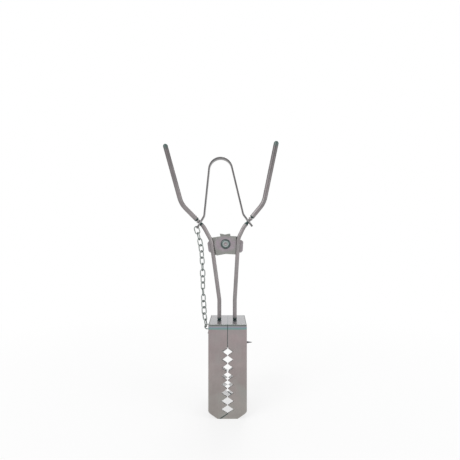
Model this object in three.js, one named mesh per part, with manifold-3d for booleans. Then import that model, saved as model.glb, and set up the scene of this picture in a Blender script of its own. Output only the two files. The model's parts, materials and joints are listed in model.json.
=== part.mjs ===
// Tong trap for moles, in millimetres, +Z up, front towards -Y.
// Two hinged round bars, pushed apart by a strip spring, hold the halves of a toothed box shut.
import * as THREE from "three";
import { mergeVertices } from "three/addons/utils/BufferGeometryUtils.js";
import Module from "manifold-3d";

const wasm = await Module();
wasm.setup();

const DEGREE = Math.PI / 180;
const TURN = 2 * Math.PI;

// General sizes
const clearance = 0.3;
const overrun = 5;
const sheet = 1.5;

// Box of the two jaws
const boxWidth = 40;
const boxDepth = 50;
const boxHeight = 96.4;
const boxSideBend = 3;
const boxTopBend = 3.5;
const boxShoulderBend = 1.5;
const cornerRise = 6.7;
const cornerFootHalf = 10.2;
const seamGap = 0.3;

// Slanted toe at the foot of the parting line, and the teeth above it
const toeRise = 5.3;
const toeReach = 8;
const toeStep = 0.195;
const notchPitch = 8.51;
const toothFlat = 0.3;
const notchHalf = (notchPitch - toothFlat) / 2;
const lowestNotch = toeRise + toeStep + notchHalf;
const plainTop = 22;
const notchCount = 1 + Math.floor((boxHeight - plainTop - lowestNotch) / notchPitch);
const upperNotchDepth = 5.9;
const lowerNotchDepth = 6.6;

// Round bars
const legRadius = 2.2;
const neckRadius = 1.6;
const gripFootRadius = 2.6;
const gripTipRadius = 2.75;
const barBend = 9;
const leftFoot = -9.3;
const rightFoot = 7.8;
const legRun = 21.6;
const leftShankRun = 65.9;
const rightShankRun = 68;
const leftShoulderRun = 18.2;
const rightShoulderRun = 14.1;
const seatToGripBend = 34.8;
const gripRun = 69.9;
const leftLeanAngles = [0, 7.8, 28.6, 44.6, 15.4];
const rightLeanAngles = [0, 3.3, 26, 39.6, 11.7];
const leftSeatRun = 5.2;
const rightSeatRun = 7.9;
const tenonRadius = 1.7;
const tenonHeadRadius = 3.3;
const tenonHeadHeight = 1.4;

// Collars on the necks
const collarRadius = 2.4;
const collarHeight = 3.6;
const collarGroove = 1.3;

// Strip spring
const stripThickness = 1.8;
const stripWidth = 6.5;
const archRadius = 12.6;
const kinkBend = 7;
const leftKinkRun = 8.9;
const rightKinkRun = 9.7;
const tailRun = 7;
const leftTailLean = 31;
const rightTailLean = 36.9;
const leftLegAngle = 5.9;
const rightLegAngle = 13.5;
const seatHoleRadius = 2.1;
const chainHoleRadius = 1.6;
const chainHoleEdge = 2.5;

// Hinge plates and rivet
const plateThickness = 2;
const pivotX = -2.4;
const pivotRise = 83.5;
const pivotZ = boxHeight + pivotRise;
const rivetRadius = 2.6;
const rivetHeadRadius = 5;
const rivetFlatRadius = 3.65;
const rivetHeadHeight = 1.9;
const rivetTailRadius = 4.6;
const rivetTailHeight = 1.5;
const rivetDimpleRadius = 1.5;
const rivetDimpleDepth = 0.5;
const plateTopRise = 9.2;
const plateTopFall = 1.6;
const plateFootDrop = 11;
const plateFootFall = 1.8;
const crownHalf = 5.8;
const crownRise = 11.6;
const crownDip = 0.9;
const crownHorn = 2;
const plateEdgeRadius = 12.5;
const plateEdgeLean = 12.7;
const joggleReach = 9.5;
const rearPlateEndRadius = 9.2;
const earReach = 3.6;
const earTopRise = 4.5;
const earFootDrop = 9.4;
const earChamfer = 1.8;

// Trigger
const triggerPivotDepth = 13.4;
const triggerPivotZ = boxHeight - triggerPivotDepth;
const triggerDrop = 11.8;
const triggerBendInset = 6;
const triggerNoseReach = 6.9;
const triggerTaper = 7;
const triggerBend = 4;
const triggerWidth = 15;
const triggerNeckWidth = 4.6;
const triggerShoulderInset = 14;
const triggerTipThickness = 0.5;
const tongueWidth = 4;
const tongueSpacing = 4.8;
const tongueHeadOverhang = 1.1;
const tongueHeadLength = 1;
const tongueShoulderGap = 0.9;
const noseSlotRise = 7.4;
const tongueSlotHalf = 1.4;

// Chain
const linkWire = 1.2;
const linkWidth = 6.4;
const nominalLinkPitch = 6.86;
const linkSlack = 0.4;
const linkSwing = 45;
const firstLinkLean = 18;
const stapleDepth = 7.9;
const stapleZ = boxHeight - stapleDepth;
const stapleStandoff = 3.9;
const chainBellyShares = [
  [0.1, 0.014],
  [0.2, 0.021],
  [0.33, 0.0175],
  [0.47, 0.01],
  [0.6, 0.001],
  [0.73, -0.004],
  [0.87, -0.008],
];

// Facets
const barSides = 12;
const linkSides = 6;
const linkSteps = 20;
const roundSides = 32;
const bendSteps = 6;

// Surfaces
function metal(name, color, roughness, metalness) {
  return new THREE.MeshStandardMaterial({ name, color, roughness, metalness });
}
const barSteel = metal("bar_steel", 0x938d8c, 0.42, 0.8);
const springSteel = metal("spring_steel", 0x6f6d6d, 0.45, 0.85);
const jawSteel = metal("jaw_steel", 0x969089, 0.5, 0.7);
const plateSteel = metal("plate_steel", 0x938f8a, 0.5, 0.75);
const rivetSteel = metal("rivet_steel", 0x8b9190, 0.35, 0.85);
const chainSteel = metal("chain_steel", 0x8f9692, 0.35, 0.85);

const trap = new THREE.Group();

function add(name, geometry, material) {
  const mesh = new THREE.Mesh(geometry, material);
  mesh.name = name;
  trap.add(mesh);
  return mesh;
}

// A closed geometry as a solid that can be joined and cut.
function solid(geometry) {
  const bare = geometry.clone();
  bare.deleteAttribute("normal");
  bare.deleteAttribute("uv");
  const merged = mergeVertices(bare);
  return new wasm.Manifold(
    new wasm.Mesh({
      numProp: 3,
      vertProperties: merged.attributes.position.array,
      triVerts: new Uint32Array(merged.index.array),
    }),
  );
}

// A solid's surface as a geometry for a mesh.
function surface(body) {
  const { vertProperties, triVerts } = body.getMesh();
  const geometry = new THREE.BufferGeometry();
  geometry.setAttribute("position", new THREE.BufferAttribute(vertProperties, 3));
  geometry.setIndex(new THREE.BufferAttribute(triVerts, 1));
  geometry.computeVertexNormals();
  return geometry;
}

// An outline of x and z, extruded from the front face at fromY to toY.
function extrudeAlongY(outline, fromY, toY) {
  const shape = Array.isArray(outline) ? new THREE.Shape(outline) : outline;
  const geometry = new THREE.ExtrudeGeometry(shape, {
    depth: toY - fromY,
    bevelEnabled: false,
    curveSegments: bendSteps,
  });
  geometry.rotateX(TURN / 4);
  geometry.translate(0, toY, 0);
  return solid(geometry);
}

// An outline of y and z, extruded from fromX to toX.
function extrudeAlongX(shape, fromX, toX) {
  const geometry = new THREE.ExtrudeGeometry(shape, {
    depth: toX - fromX,
    bevelEnabled: false,
    curveSegments: bendSteps,
  });
  const turned = new THREE.Matrix4().makeBasis(
    new THREE.Vector3(0, 1, 0),
    new THREE.Vector3(0, 0, 1),
    new THREE.Vector3(1, 0, 0),
  );
  geometry.applyMatrix4(turned);
  geometry.translate(fromX, 0, 0);
  return solid(geometry);
}

// An outline of x and y, extruded from fromZ to toZ.
function extrudeAlongZ(shape, fromZ, toZ) {
  const geometry = new THREE.ExtrudeGeometry(shape, {
    depth: toZ - fromZ,
    bevelEnabled: false,
    curveSegments: bendSteps,
  });
  geometry.translate(0, 0, fromZ);
  return solid(geometry);
}

// A round pin of the given radius, its middle at the point and its axis along the direction.
function pin(radius, length, middle, direction) {
  const geometry = new THREE.CylinderGeometry(radius, radius, length, roundSides);
  const turn = new THREE.Quaternion().setFromUnitVectors(new THREE.Vector3(0, 1, 0), direction);
  geometry.applyQuaternion(turn);
  geometry.translate(middle.x, middle.y, middle.z);
  return solid(geometry);
}

// The direction in the XZ plane that leans from straight up by an angle in degrees, to the right.
function leaning(degrees) {
  return new THREE.Vector2(Math.sin(degrees * DEGREE), Math.cos(degrees * DEGREE));
}

// Where two lines of the XZ plane cross, each given by a point and a direction.
function crossing(pointA, directionA, pointB, directionB) {
  const apart = pointB.clone().sub(pointA);
  const along = apart.cross(directionB) / directionA.cross(directionB);
  return pointA.clone().addScaledVector(directionA, along);
}

// Stations along a polyline whose inner corners are rounded: each has its point and tangent.
function filletedLine(corners, radii) {
  const stations = [];
  let tangent = corners[1].clone().sub(corners[0]).normalize();
  stations.push({ point: corners[0].clone(), tangent });
  for (let i = 1; i < corners.length - 1; i += 1) {
    const next = corners[i + 1].clone().sub(corners[i]).normalize();
    const turn = Math.atan2(tangent.cross(next), tangent.dot(next));
    const radius = radii[i - 1];
    const setback = radius * Math.tan(Math.abs(turn) / 2);
    const start = corners[i].clone().addScaledVector(tangent, -setback);
    const side = new THREE.Vector2(-tangent.y, tangent.x).multiplyScalar(Math.sign(turn));
    const centre = start.clone().addScaledVector(side, radius);
    const steps = Math.max(2, Math.ceil(Math.abs(turn) / (TURN / 4 / bendSteps)));
    for (let step = 0; step <= steps; step += 1) {
      const angle = (turn * step) / steps;
      const point = start.clone().rotateAround(centre, angle);
      const heading = tangent.clone().rotateAround(new THREE.Vector2(), angle);
      stations.push({ point, tangent: heading });
    }
    tangent = next;
  }
  stations.push({ point: corners.at(-1).clone(), tangent });
  return stations;
}

// A closed body through rings, each a list of points in space; a ring body closes on itself.
function ringBody(rings, closesOnItself) {
  const sides = rings[0].length;
  const points = rings.flat();
  const faces = [];
  const pairs = closesOnItself ? rings.length : rings.length - 1;
  for (let r = 0; r < pairs; r += 1) {
    const here = r * sides;
    const there = ((r + 1) % rings.length) * sides;
    for (let s = 0; s < sides; s += 1) {
      const t = (s + 1) % sides;
      faces.push(here + s, here + t, there + t, here + s, there + t, there + s);
    }
  }
  if (!closesOnItself) {
    const last = (rings.length - 1) * sides;
    for (let s = 1; s < sides - 1; s += 1) {
      faces.push(0, s + 1, s, last, last + s, last + s + 1);
    }
  }
  const geometry = new THREE.BufferGeometry();
  geometry.setFromPoints(points);
  geometry.setIndex(faces);
  geometry.computeVertexNormals();
  return geometry;
}

// One ring of points round a centre, in the plane of two unit vectors.
function ringAt(centre, radius, across, up, sides) {
  return Array.from({ length: sides }, (_, s) => {
    const angle = (TURN * s) / sides;
    return centre
      .clone()
      .addScaledVector(across, radius * Math.cos(angle))
      .addScaledVector(up, radius * Math.sin(angle));
  });
}

// The corners of one bar, from the top of the box up to the grip's tip.
function barCorners(footX, angles, shankRun, shoulderRun) {
  const runs = [legRun, shankRun, shoulderRun, seatToGripBend, gripRun];
  const corners = [new THREE.Vector2(footX, boxHeight + clearance)];
  runs.forEach((run, i) => {
    corners.push(corners.at(-1).clone().addScaledVector(leaning(angles[i]), run));
  });
  return corners;
}

const leftCorners = barCorners(
  leftFoot,
  leftLeanAngles.map((angle) => -angle),
  leftShankRun,
  leftShoulderRun,
);
const rightCorners = barCorners(rightFoot, rightLeanAngles, rightShankRun, rightShoulderRun);

// The spring seat of a bar: its middle and the bar's direction there.
function seatOf(corners, seatRun) {
  const direction = corners[4].clone().sub(corners[3]).normalize();
  return { middle: corners[3].clone().addScaledVector(direction, seatRun), direction };
}
const leftSeat = seatOf(leftCorners, leftSeatRun);
const rightSeat = seatOf(rightCorners, rightSeatRun);

// How far the tilted strip reaches up and down the bar from the middle of its seat.
function stripReach(seat, tailDirection) {
  const tilt = Math.abs(seat.direction.dot(tailDirection));
  const slope = Math.tan(Math.asin(tilt));
  return stripThickness / 2 / Math.cos(Math.asin(tilt)) + collarRadius * slope + clearance;
}
const leftTail = leaning(180 + leftTailLean);
const rightTail = leaning(180 - rightTailLean);

// Round bar with a riveted tenon below, a neck for the spring and collar, and a domed tip.
function bar(corners, seat, reach) {
  const line = filletedLine(corners, Array(corners.length - 2).fill(barBend));
  const neckStart = -reach;
  const gripStart = reach + collarHeight + clearance + collarGroove;
  const foot = corners[0].clone();
  const upright = new THREE.Vector2(0, 1);
  const wallUnderside = -clearance - sheet - clearance;
  const stations = [];
  const put = (point, tangent, radius) => stations.push({ point, tangent, radius });
  const footAt = (rise) => foot.clone().addScaledVector(upright, rise);
  put(footAt(wallUnderside - tenonHeadHeight), upright, tenonHeadRadius - tenonHeadHeight / 2);
  put(footAt(wallUnderside - tenonHeadHeight / 2), upright, tenonHeadRadius);
  put(footAt(wallUnderside), upright, tenonHeadRadius);
  put(footAt(wallUnderside), upright, tenonRadius);
  put(footAt(0), upright, tenonRadius);
  put(footAt(0), upright, legRadius);
  const seatAlong = (station) => station.point.clone().sub(seat.middle).dot(seat.direction);
  const seatPoint = (along) => seat.middle.clone().addScaledVector(seat.direction, along);
  const below = line.slice(1).filter((station) => seatAlong(station) < neckStart);
  const above = line.slice(1).filter((station) => seatAlong(station) > gripStart);
  below.forEach(({ point, tangent }) => put(point, tangent, legRadius));
  put(seatPoint(neckStart), seat.direction, legRadius);
  put(seatPoint(neckStart), seat.direction, neckRadius);
  put(seatPoint(gripStart), seat.direction, neckRadius);
  put(seatPoint(gripStart), seat.direction, gripFootRadius);
  const tip = above.at(-1).point;
  const bendEnd = above.at(-2).point;
  above.slice(0, -1).forEach(({ point, tangent }) => put(point, tangent, gripFootRadius));
  const tipDirection = tip.clone().sub(bendEnd).normalize();
  const domeSteps = 4;
  for (let step = 0; step < domeSteps; step += 1) {
    const angle = ((TURN / 4) * step) / domeSteps;
    const back = gripTipRadius * (1 - Math.sin(angle));
    put(tip.clone().addScaledVector(tipDirection, -back), tipDirection, gripTipRadius * Math.cos(angle));
  }
  const up = new THREE.Vector3(0, 1, 0);
  const rings = stations.map(({ point, tangent, radius }) => {
    const across = new THREE.Vector3(tangent.y, 0, -tangent.x);
    return ringAt(new THREE.Vector3(point.x, 0, point.y), radius, across, up, barSides);
  });
  return ringBody(rings, false);
}

const leftReach = stripReach(leftSeat, leftTail);
const rightReach = stripReach(rightSeat, rightTail);
add("left_rod", bar(leftCorners, leftSeat, leftReach), barSteel);
add("right_rod", bar(rightCorners, rightSeat, rightReach), barSteel);

// Collar crimped on the neck, just above the spring.
function collar(seat, reach) {
  const bore = neckRadius + clearance;
  const edge = (collarRadius - bore) / 2;
  const profile = [
    [bore, 0],
    [collarRadius - edge, 0],
    [collarRadius, edge],
    [collarRadius, collarHeight - edge],
    [collarRadius - edge, collarHeight],
    [bore, collarHeight],
    [bore, 0],
  ].map(([r, rise]) => new THREE.Vector2(r, rise));
  const geometry = new THREE.LatheGeometry(profile, roundSides / 2);
  const direction = new THREE.Vector3(seat.direction.x, 0, seat.direction.y);
  const start = seat.middle.clone().addScaledVector(seat.direction, reach);
  const turn = new THREE.Quaternion().setFromUnitVectors(new THREE.Vector3(0, 1, 0), direction);
  geometry.applyQuaternion(turn);
  geometry.translate(start.x, 0, start.y);
  return geometry;
}
add("left_collar", collar(leftSeat, leftReach), rivetSteel);
add("right_collar", collar(rightSeat, rightReach), rivetSteel);

// Strip spring: tails through the bars, kinks, straight legs and the arch at the top.
const leftKink = leftSeat.middle.clone().addScaledVector(leftTail, -leftKinkRun);
const rightKink = rightSeat.middle.clone().addScaledVector(rightTail, -rightKinkRun);
const leftTailEnd = leftSeat.middle.clone().addScaledVector(leftTail, tailRun);
const rightTailEnd = rightSeat.middle.clone().addScaledVector(rightTail, tailRun);
const apex = crossing(leftKink, leaning(leftLegAngle), rightKink, leaning(-rightLegAngle));
const springLine = filletedLine(
  [leftTailEnd, leftKink, apex, rightKink, rightTailEnd],
  [kinkBend, archRadius, kinkBend],
);
const chainHole = leftTailEnd.clone().addScaledVector(leftTail, -chainHoleEdge);

function spring() {
  const side = (offset) =>
    springLine.map(({ point, tangent }) => {
      const across = new THREE.Vector2(-tangent.y, tangent.x);
      return point.clone().addScaledVector(across, offset);
    });
  const outline = [...side(-stripThickness / 2), ...side(stripThickness / 2).reverse()];
  const strip = extrudeAlongY(outline, -stripWidth / 2, stripWidth / 2);
  const holes = [leftSeat, rightSeat].map(({ middle, direction }) =>
    pin(
      seatHoleRadius,
      stripThickness + overrun,
      new THREE.Vector3(middle.x, 0, middle.y),
      new THREE.Vector3(direction.x, 0, direction.y),
    ),
  );
  const through = new THREE.Vector3(-leftTail.y, 0, leftTail.x);
  const eye = pin(
    chainHoleRadius,
    stripThickness + overrun,
    new THREE.Vector3(chainHole.x, 0, chainHole.y),
    through,
  );
  return surface(strip.subtract(holes[0]).subtract(holes[1]).subtract(eye));
}
add("spring", spring(), springSteel);

// Depths of the hinge plates: the rear one lies behind the bars, the front one before it
const plateFrontY = clearance / 2;
const plateBackY = legRadius + clearance;
const rearFaceY = plateBackY + plateThickness;

// The x of a bar's axis at a height on its shank.
function shankX(corners, height) {
  const share = (height - corners[1].y) / (corners[2].y - corners[1].y);
  return corners[1].x + share * (corners[2].x - corners[1].x);
}

// The ear of a plate, outside its bar, as outline points from its top down.
function earPoints(corners, outward) {
  const top = pivotZ + earTopRise;
  const foot = pivotZ - earFootDrop;
  const innerAt = (height) => shankX(corners, height);
  const outerAt = (height) => shankX(corners, height) + outward * (legRadius + earReach);
  return [
    new THREE.Vector2(innerAt(top), top),
    new THREE.Vector2(outerAt(top - earChamfer) - outward * earChamfer, top),
    new THREE.Vector2(outerAt(top - earChamfer), top - earChamfer),
    new THREE.Vector2(outerAt(foot + earChamfer), foot + earChamfer),
    new THREE.Vector2(outerAt(foot) - outward * earChamfer, foot),
    new THREE.Vector2(innerAt(foot), foot),
  ];
}

const rivetBore = pin(
  rivetRadius + clearance,
  rearFaceY + overrun * 2,
  new THREE.Vector3(pivotX, 0, pivotZ),
  new THREE.Vector3(0, 1, 0),
);

// Rear plate: trapezium behind the left bar, round end, crown tab on top.
function rearPlate() {
  const topZ = pivotZ + plateTopRise;
  const footZ = pivotZ - plateFootDrop;
  const leftTop = shankX(leftCorners, topZ);
  const leftFootX = shankX(leftCorners, footZ);
  const body = new THREE.Shape([
    new THREE.Vector2(leftTop, topZ - plateTopFall),
    new THREE.Vector2(pivotX, topZ),
    new THREE.Vector2(pivotX, pivotZ - rearPlateEndRadius),
    new THREE.Vector2(leftFootX, footZ - plateFootFall),
  ]);
  const crownTop = pivotZ + crownRise;
  const crown = new THREE.Shape([
    new THREE.Vector2(pivotX - crownHalf, pivotZ),
    new THREE.Vector2(pivotX - crownHalf, crownTop),
    new THREE.Vector2(pivotX - crownHalf + crownHorn, crownTop),
    new THREE.Vector2(pivotX, crownTop - crownDip),
    new THREE.Vector2(pivotX + crownHalf - crownHorn, crownTop),
    new THREE.Vector2(pivotX + crownHalf, crownTop),
    new THREE.Vector2(pivotX + crownHalf, pivotZ),
  ]);
  const end = pin(
    rearPlateEndRadius,
    plateThickness,
    new THREE.Vector3(pivotX, plateBackY + plateThickness / 2, pivotZ),
    new THREE.Vector3(0, 1, 0),
  );
  return surface(
    extrudeAlongY(body, plateBackY, rearFaceY)
      .add(extrudeAlongY(earPoints(leftCorners, -1), plateBackY, rearFaceY))
      .add(extrudeAlongY(crown, plateBackY, rearFaceY))
      .add(end)
      .subtract(rivetBore),
  );
}
add("rear_plate", rearPlate(), plateSteel);

// Front plate: in front of the rear plate at the rivet, stepped back to pass behind the right bar.
function frontPlate() {
  const topZ = pivotZ + plateTopRise;
  const footZ = pivotZ - plateFootDrop;
  const edge = leaning(-plateEdgeLean);
  const edgeMiddle = new THREE.Vector2(pivotX, pivotZ).addScaledVector(
    new THREE.Vector2(-edge.y, edge.x),
    plateEdgeRadius,
  );
  const edgeAt = (height) => edgeMiddle.x + ((height - edgeMiddle.y) * edge.x) / edge.y;
  const rightTop = shankX(rightCorners, topZ);
  const rightFootX = shankX(rightCorners, footZ);
  const outline = [
    new THREE.Vector2(edgeAt(topZ - plateTopFall), topZ - plateTopFall),
    new THREE.Vector2(pivotX, topZ),
    new THREE.Vector2(rightTop, topZ - plateTopFall / 2),
    new THREE.Vector2(rightFootX, footZ - plateFootFall / 2),
    new THREE.Vector2(pivotX, footZ),
    new THREE.Vector2(edgeAt(footZ - plateFootFall), footZ - plateFootFall),
  ];
  const silhouette = extrudeAlongY(outline, -overrun, rearFaceY + overrun)
    .add(extrudeAlongY(earPoints(rightCorners, 1), -overrun, rearFaceY + overrun));
  const stepStart = pivotX + joggleReach;
  const stepEnd = stepStart + plateBackY - plateFrontY;
  const farLeft = pivotX - boxWidth;
  const farRight = pivotX + boxWidth;
  const section = new THREE.Shape([
    new THREE.Vector2(farLeft, plateFrontY),
    new THREE.Vector2(stepStart, plateFrontY),
    new THREE.Vector2(stepEnd, plateBackY),
    new THREE.Vector2(farRight, plateBackY),
    new THREE.Vector2(farRight, rearFaceY),
    new THREE.Vector2(stepEnd, rearFaceY),
    new THREE.Vector2(stepStart, plateFrontY + plateThickness),
    new THREE.Vector2(farLeft, plateFrontY + plateThickness),
  ]);
  const formed = extrudeAlongZ(section, footZ - overrun, topZ + overrun);
  const swept = pin(
    plateEdgeRadius,
    rearFaceY + overrun * 2,
    new THREE.Vector3(pivotX, 0, pivotZ),
    new THREE.Vector3(0, 1, 0),
  );
  const upperLeft = extrudeAlongY(
    [
      new THREE.Vector2(farLeft, pivotZ),
      new THREE.Vector2(pivotX, pivotZ),
      new THREE.Vector2(pivotX, topZ + overrun),
      new THREE.Vector2(farLeft, topZ + overrun),
    ],
    -overrun,
    rearFaceY + overrun,
  );
  return surface(
    silhouette.intersect(formed).subtract(upperLeft.subtract(swept)).subtract(rivetBore),
  );
}
add("front_plate", frontPlate(), plateSteel);

// Pivot rivet: flat-topped head with a dimple in front, shank, flatter head behind.
function pivotRivet() {
  const headFoot = plateFrontY - clearance;
  const headTop = headFoot - rivetHeadHeight;
  const tailFoot = rearFaceY + clearance;
  const tailTop = tailFoot + rivetTailHeight;
  const profile = [
    [0, headTop + rivetDimpleDepth],
    [rivetDimpleRadius, headTop],
    [rivetFlatRadius, headTop],
    [rivetHeadRadius, headTop + rivetHeadHeight / 2],
    [rivetHeadRadius, headFoot],
    [rivetRadius, headFoot],
    [rivetRadius, tailFoot],
    [rivetTailRadius, tailFoot],
    [rivetTailRadius - rivetTailHeight / 2, tailTop],
    [0, tailTop],
  ].map(([r, y]) => new THREE.Vector2(r, y));
  const geometry = new THREE.LatheGeometry(profile, roundSides);
  geometry.translate(pivotX, 0, pivotZ);
  return geometry;
}
add("pivot_rivet", pivotRivet(), rivetSteel);

// A rounded rectangle, its foot at bottom, inset by a wall, with square foot corners if asked.
function roundedOutline(halfWidth, bottom, top, radius, roundFoot) {
  const shape = new THREE.Shape();
  const footRadius = roundFoot ? radius : 0;
  shape.moveTo(-halfWidth + footRadius, bottom);
  shape.lineTo(halfWidth - footRadius, bottom);
  if (roundFoot) {
    shape.absarc(halfWidth - radius, bottom + radius, radius, -TURN / 4, 0);
  }
  shape.lineTo(halfWidth, top - radius);
  shape.absarc(halfWidth - radius, top - radius, radius, 0, TURN / 4);
  shape.lineTo(-halfWidth + radius, top);
  shape.absarc(-halfWidth + radius, top - radius, radius, TURN / 4, TURN / 2);
  if (roundFoot) {
    shape.lineTo(-halfWidth, bottom + radius);
    shape.absarc(-halfWidth + radius, bottom + radius, radius, TURN / 2, (TURN * 3) / 4);
  }
  return shape;
}

// The box as one block, rounded where the sheet is bent and inset by a wall.
function boxBlock(inset, bottom) {
  const halfWidth = boxWidth / 2 - inset;
  const halfDepth = boxDepth / 2 - inset;
  const top = boxHeight - inset;
  const plan = roundedOutline(halfWidth, -halfDepth, halfDepth, boxSideBend - inset, true);
  const side = roundedOutline(halfDepth, bottom, top, boxTopBend - inset, false);
  const front = roundedOutline(halfWidth, bottom, top, boxShoulderBend - inset / 2, false);
  return extrudeAlongZ(plan, bottom, top)
    .intersect(extrudeAlongX(side, -halfWidth, halfWidth))
    .intersect(extrudeAlongY(front, -halfDepth, halfDepth));
}

// Open-bottomed shell of the whole box, its lower corners cut off at a slant.
function boxShell() {
  const shell = boxBlock(0, 0).subtract(boxBlock(sheet, -overrun));
  const cut = (outward) =>
    extrudeAlongY(
      [
        new THREE.Vector2(outward * cornerFootHalf, 0),
        new THREE.Vector2((outward * boxWidth) / 2, cornerRise),
        new THREE.Vector2((outward * boxWidth) / 2 + outward * overrun, cornerRise),
        new THREE.Vector2((outward * boxWidth) / 2 + outward * overrun, -overrun),
        new THREE.Vector2(outward * cornerFootHalf, -overrun),
      ],
      -boxDepth / 2 - overrun,
      boxDepth / 2 + overrun,
    );
  return shell.subtract(cut(1)).subtract(cut(-1));
}

// What lies left of the parting line; the toe slants towards the given side.
function leftOfParting(toeSide, fromY, toY) {
  const line = -seamGap / 2;
  const points = [
    new THREE.Vector2(-boxWidth, -overrun),
    new THREE.Vector2(-boxWidth, boxHeight + overrun),
    new THREE.Vector2(line, boxHeight + overrun),
  ];
  for (let i = notchCount - 1; i >= 0; i -= 1) {
    const middle = lowestNotch + i * notchPitch;
    const depth = THREE.MathUtils.lerp(lowerNotchDepth, upperNotchDepth, i / (notchCount - 1));
    points.push(new THREE.Vector2(line, middle + notchHalf));
    points.push(new THREE.Vector2(-depth, middle));
    points.push(new THREE.Vector2(line, middle - notchHalf));
  }
  const slantPerRise = Math.hypot(toeRise, toeReach) / toeRise;
  const slantLift = toeSide * line * ((slantPerRise - 1) / toeReach) * toeRise;
  const toeFoot = toeSide * toeReach + line * slantPerRise;
  points.push(new THREE.Vector2(line, toeRise + slantLift));
  points.push(new THREE.Vector2(toeFoot, 0));
  points.push(new THREE.Vector2(toeFoot, -overrun));
  return extrudeAlongY(points, fromY, toY);
}

// Left half of the box; the right half is the same pressing turned about Z.
const halfBox = boxShell().intersect(
  leftOfParting(-1, -boxDepth, 0).add(leftOfParting(1, 0, boxDepth)),
);
const halfBoxTurned = halfBox.rotate([0, 0, 180]);

function tenonHole(footX) {
  return pin(
    tenonRadius + clearance,
    sheet + overrun,
    new THREE.Vector3(footX, 0, boxHeight - sheet / 2),
    new THREE.Vector3(0, 0, 1),
  );
}

// Where the trigger and the chain's staple link go through the side walls
const wallMiddle = boxWidth / 2 - sheet / 2;
const triggerNoseZ = triggerPivotZ - triggerDrop;
const stapleSpread = linkWidth / 2 - linkWire / 2;

function slotThroughWall(wallX, centreY, width, fromZ, toZ) {
  const shape = new THREE.Shape([
    new THREE.Vector2(centreY - width / 2, fromZ),
    new THREE.Vector2(centreY + width / 2, fromZ),
    new THREE.Vector2(centreY + width / 2, toZ),
    new THREE.Vector2(centreY - width / 2, toZ),
  ]);
  return extrudeAlongX(shape, wallX - sheet, wallX + sheet);
}

function leftJaw() {
  const slots = [-1, 1].map((side) =>
    slotThroughWall(
      -wallMiddle,
      side * tongueSpacing,
      tongueWidth + clearance * 2,
      triggerPivotZ - tongueSlotHalf,
      triggerPivotZ + tongueSlotHalf,
    ),
  );
  const holes = [-1, 1].map((side) =>
    pin(
      linkWire / 2 + clearance * 2,
      sheet + overrun,
      new THREE.Vector3(-wallMiddle, 0, stapleZ + side * stapleSpread),
      new THREE.Vector3(1, 0, 0),
    ),
  );
  return surface(
    [...slots, ...holes, tenonHole(leftFoot)].reduce((body, cut) => body.subtract(cut), halfBox),
  );
}
add("left_jaw", leftJaw(), jawSteel);

function rightJaw() {
  const slot = slotThroughWall(
    wallMiddle,
    0,
    triggerNeckWidth + clearance * 4,
    triggerNoseZ - sheet / 2 - clearance * 2,
    triggerNoseZ + noseSlotRise,
  );
  return surface(halfBoxTurned.subtract(slot).subtract(tenonHole(rightFoot)));
}
add("right_jaw", rightJaw(), jawSteel);

// Trigger: pressed lever, hooked in the left wall by two tongues, its nose out of the right wall.
function trigger() {
  const tipX = boxWidth / 2 + triggerNoseReach;
  const shoulderX = -wallMiddle + sheet / 2 + tongueShoulderGap;
  const bendX = boxWidth / 2 - triggerBendInset;
  const line = filletedLine(
    [
      new THREE.Vector2(-wallMiddle, triggerPivotZ),
      new THREE.Vector2(bendX, triggerNoseZ),
      new THREE.Vector2(tipX, triggerNoseZ),
    ],
    [triggerBend],
  );
  const slope = line[0].tangent;
  const headEnd = sheet / 2 + clearance * 2 + tongueHeadLength;
  line[0].point.addScaledVector(slope, -headEnd);
  const taperStart = { point: new THREE.Vector2(tipX - triggerTaper, triggerNoseZ) };
  taperStart.tangent = line.at(-1).tangent;
  line.splice(line.length - 1, 0, taperStart);
  const side = (sign) =>
    line.map(({ point, tangent }, i) => {
      const half = (i === line.length - 1 ? triggerTipThickness : sheet) / 2;
      return point.clone().addScaledVector(new THREE.Vector2(-tangent.y, tangent.x), sign * half);
    });
  const profile = [...side(-1), ...side(1).reverse()];
  const lever = extrudeAlongY(profile, -triggerWidth, triggerWidth);
  const flat = slope.x;
  const headX = -wallMiddle - headEnd * flat;
  const neckX = -wallMiddle - (sheet / 2 + clearance * 2) * flat;
  const taperX = tipX - triggerTaper;
  const half = triggerWidth / 2;
  const neckHalf = triggerNeckWidth / 2;
  const plan = new THREE.Shape([
    new THREE.Vector2(shoulderX, -half),
    new THREE.Vector2(bendX - triggerShoulderInset, -half),
    new THREE.Vector2(bendX, -neckHalf),
    new THREE.Vector2(taperX, -neckHalf),
    new THREE.Vector2(tipX, -triggerTipThickness / 2),
    new THREE.Vector2(tipX, triggerTipThickness / 2),
    new THREE.Vector2(taperX, neckHalf),
    new THREE.Vector2(bendX, neckHalf),
    new THREE.Vector2(bendX - triggerShoulderInset, half),
    new THREE.Vector2(shoulderX, half),
  ]);
  const tongue = (middleY) => {
    const wide = tongueWidth / 2 + tongueHeadOverhang;
    return new THREE.Shape([
      new THREE.Vector2(headX - overrun, middleY - wide),
      new THREE.Vector2(neckX, middleY - wide),
      new THREE.Vector2(neckX, middleY - tongueWidth / 2),
      new THREE.Vector2(shoulderX + sheet, middleY - tongueWidth / 2),
      new THREE.Vector2(shoulderX + sheet, middleY + tongueWidth / 2),
      new THREE.Vector2(neckX, middleY + tongueWidth / 2),
      new THREE.Vector2(neckX, middleY + wide),
      new THREE.Vector2(headX - overrun, middleY + wide),
    ]);
  };
  const cutter = (shape) => extrudeAlongZ(shape, 0, boxHeight);
  const allPlan = cutter(plan)
    .add(cutter(tongue(-tongueSpacing)))
    .add(cutter(tongue(tongueSpacing)));
  return surface(lever.intersect(allPlan));
}
add("trigger", trigger(), rivetSteel);

// Chain: its first link hangs in the spring's tail, its last is stapled through the left wall.
const stapleLoopX = -boxWidth / 2 - stapleStandoff;

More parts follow.
